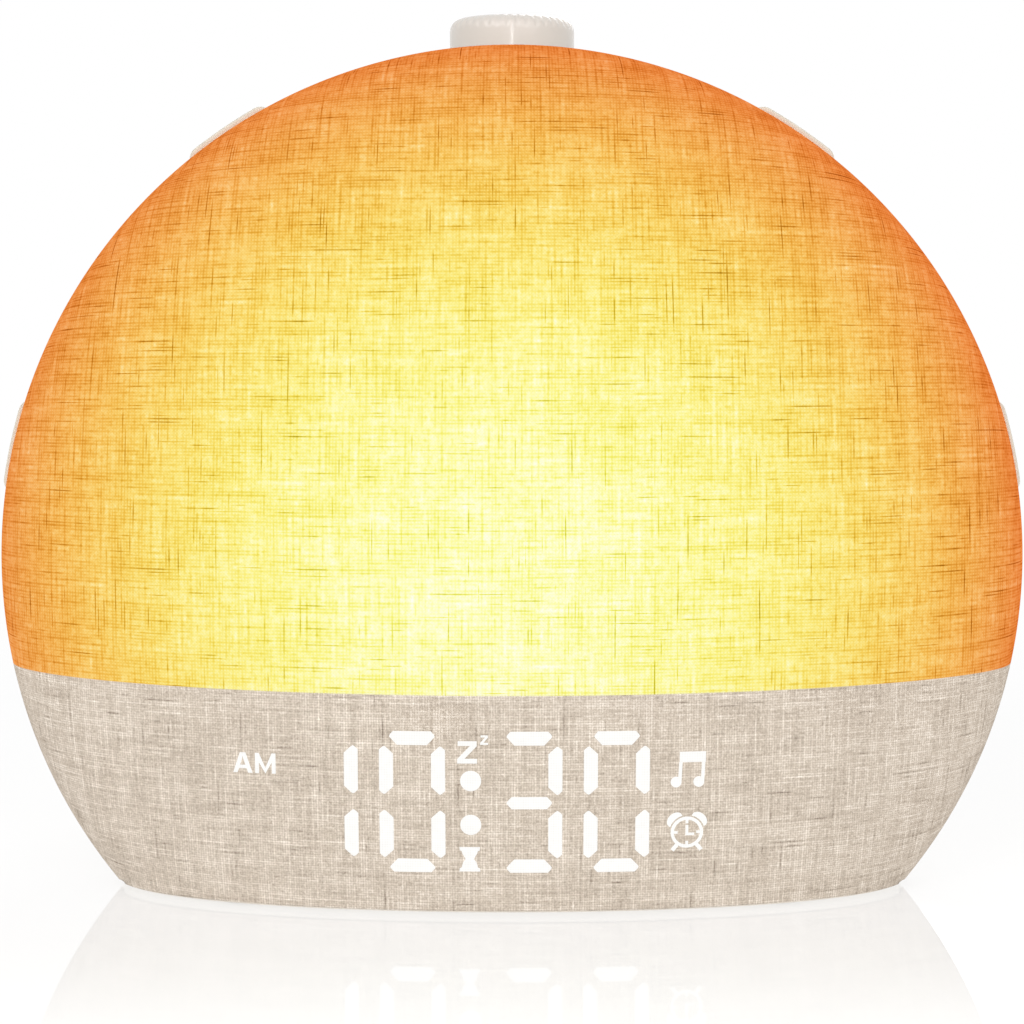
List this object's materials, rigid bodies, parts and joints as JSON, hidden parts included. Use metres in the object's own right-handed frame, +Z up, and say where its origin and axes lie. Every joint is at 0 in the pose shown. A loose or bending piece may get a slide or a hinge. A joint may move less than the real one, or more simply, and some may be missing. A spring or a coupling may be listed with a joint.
{
  "type": "sunrise alarm clock",
  "caption": "Bedside wake-up light and clock: domed linen front glowing above a digit display, press-and-turn knob on top, slim keys on the rim, flat base.",
  "frame": {"origin": "centre of the bounding box at floor level, under the feet", "axes": "+X to the right across the width, +Y to the back (the domed front faces -Y), +Z up"},
  "size_m": [0.1806, 0.084, 0.1549],
  "materials": {
    "black_plastic": "satin",
    "can_aluminium": "satin",
    "circuit_board": "solder mask, satin",
    "cone_paper": "pressed paper",
    "cream_gloss": "gloss",
    "cream_plastic": "fine satin",
    "flex_film": "satin film",
    "foam": "open foam, matte",
    "foot_rubber": "matte",
    "grey_plastic": "matte",
    "lead_sheath": "satin",
    "led_package": "gloss",
    "lens_plastic": "frosted",
    "linen": "woven linen, matte",
    "magnet": "matte",
    "opal_plastic": "translucent, matte",
    "panel_plastic": "matte",
    "socket_plastic": "satin",
    "steel": "plated",
    "surround_rubber": "matte",
    "white_plastic": "matte"
  },
  "bodies": {
    "case": {"baffle_foam": "foam", "base_plate": "cream_plastic", "base_screws": "steel", "board_chips": "black_plastic", "board_screws": "steel", "board_sockets": "socket_plastic", "body_shell": "cream_plastic", "capacitors": "can_aluminium", "coin_cell": "steel", "coin_holder": "black_plastic", "diffuser_dome": "opal_plastic", "digit_lenses": "lens_plastic", "display_block": "white_plastic", "display_board": "circuit_board", "display_lead": "lead_sheath", "display_leds": "led_package", "display_panel": "panel_plastic", "encoder_board": "circuit_board", "encoder_body": "black_plastic", "encoder_lead": "lead_sheath", "encoder_nut": "steel", "frame_screws": "steel", "front_frame": "white_plastic", "icon_lenses": "lens_plastic", "key_flex_left": "flex_film", "key_flex_right": "flex_film", "key_leads": "lead_sheath", "key_switches": "black_plastic", "led_board": "circuit_board", "led_lead": "lead_sheath", "light_baffle": "grey_plastic", "linen_cover": "linen", "main_board": "circuit_board", "rear_cover": "cream_plastic", "rear_screws": "steel", "reflector_tray": "white_plastic", "rubber_feet": "foot_rubber", "speaker_basket": "steel", "speaker_cone": "cone_paper", "speaker_dust_cap": "cone_paper", "speaker_gasket": "foam", "speaker_lead": "lead_sheath", "speaker_magnet": "magnet", "speaker_screws": "steel", "speaker_surround": "surround_rubber", "sun_leds": "led_package", "usb_shell": "steel", "usb_tongue": "black_plastic"},
    "knob": {"volume_knob": "cream_gloss", "knob_shaft": "steel"},
    "press_stem": {"encoder_plunger": "black_plastic"},
    "key_upper_left_body": {"key_upper_left": "cream_plastic", "plunger_upper_left": "black_plastic"},
    "key_upper_right_body": {"key_upper_right": "cream_plastic", "plunger_upper_right": "black_plastic"},
    "key_lower_left_body": {"key_lower_left": "cream_plastic", "plunger_lower_left": "black_plastic"},
    "key_lower_right_body": {"key_lower_right": "cream_plastic", "plunger_lower_right": "black_plastic"}
  },
  "joints": [
    {"name": "knob_press", "type": "slide", "parent": "case", "child": "press_stem", "axis": [0, 0, -1], "range_m": [0, 0.0005], "stiffness_N_per_m": 5000},
    {"name": "knob_turn", "type": "hinge", "parent": "press_stem", "child": "knob", "pos_m": [0, 0.0032, 0.1453], "axis": [0, 0, -1], "continuous": true},
    {"name": "key_upper_left_press", "type": "slide", "parent": "case", "child": "key_upper_left_body", "axis": [0.5592, 0, -0.829], "range_m": [0, 0.0005], "stiffness_N_per_m": 3000},
    {"name": "key_upper_right_press", "type": "slide", "parent": "case", "child": "key_upper_right_body", "axis": [-0.5592, 0, -0.829], "range_m": [0, 0.0005], "stiffness_N_per_m": 3000},
    {"name": "key_lower_left_press", "type": "slide", "parent": "case", "child": "key_lower_left_body", "axis": [0.9767, 0, -0.2147], "range_m": [0, 0.0005], "stiffness_N_per_m": 3000},
    {"name": "key_lower_right_press", "type": "slide", "parent": "case", "child": "key_lower_right_body", "axis": [-0.9767, 0, -0.2147], "range_m": [0, 0.0005], "stiffness_N_per_m": 3000}
  ]
}
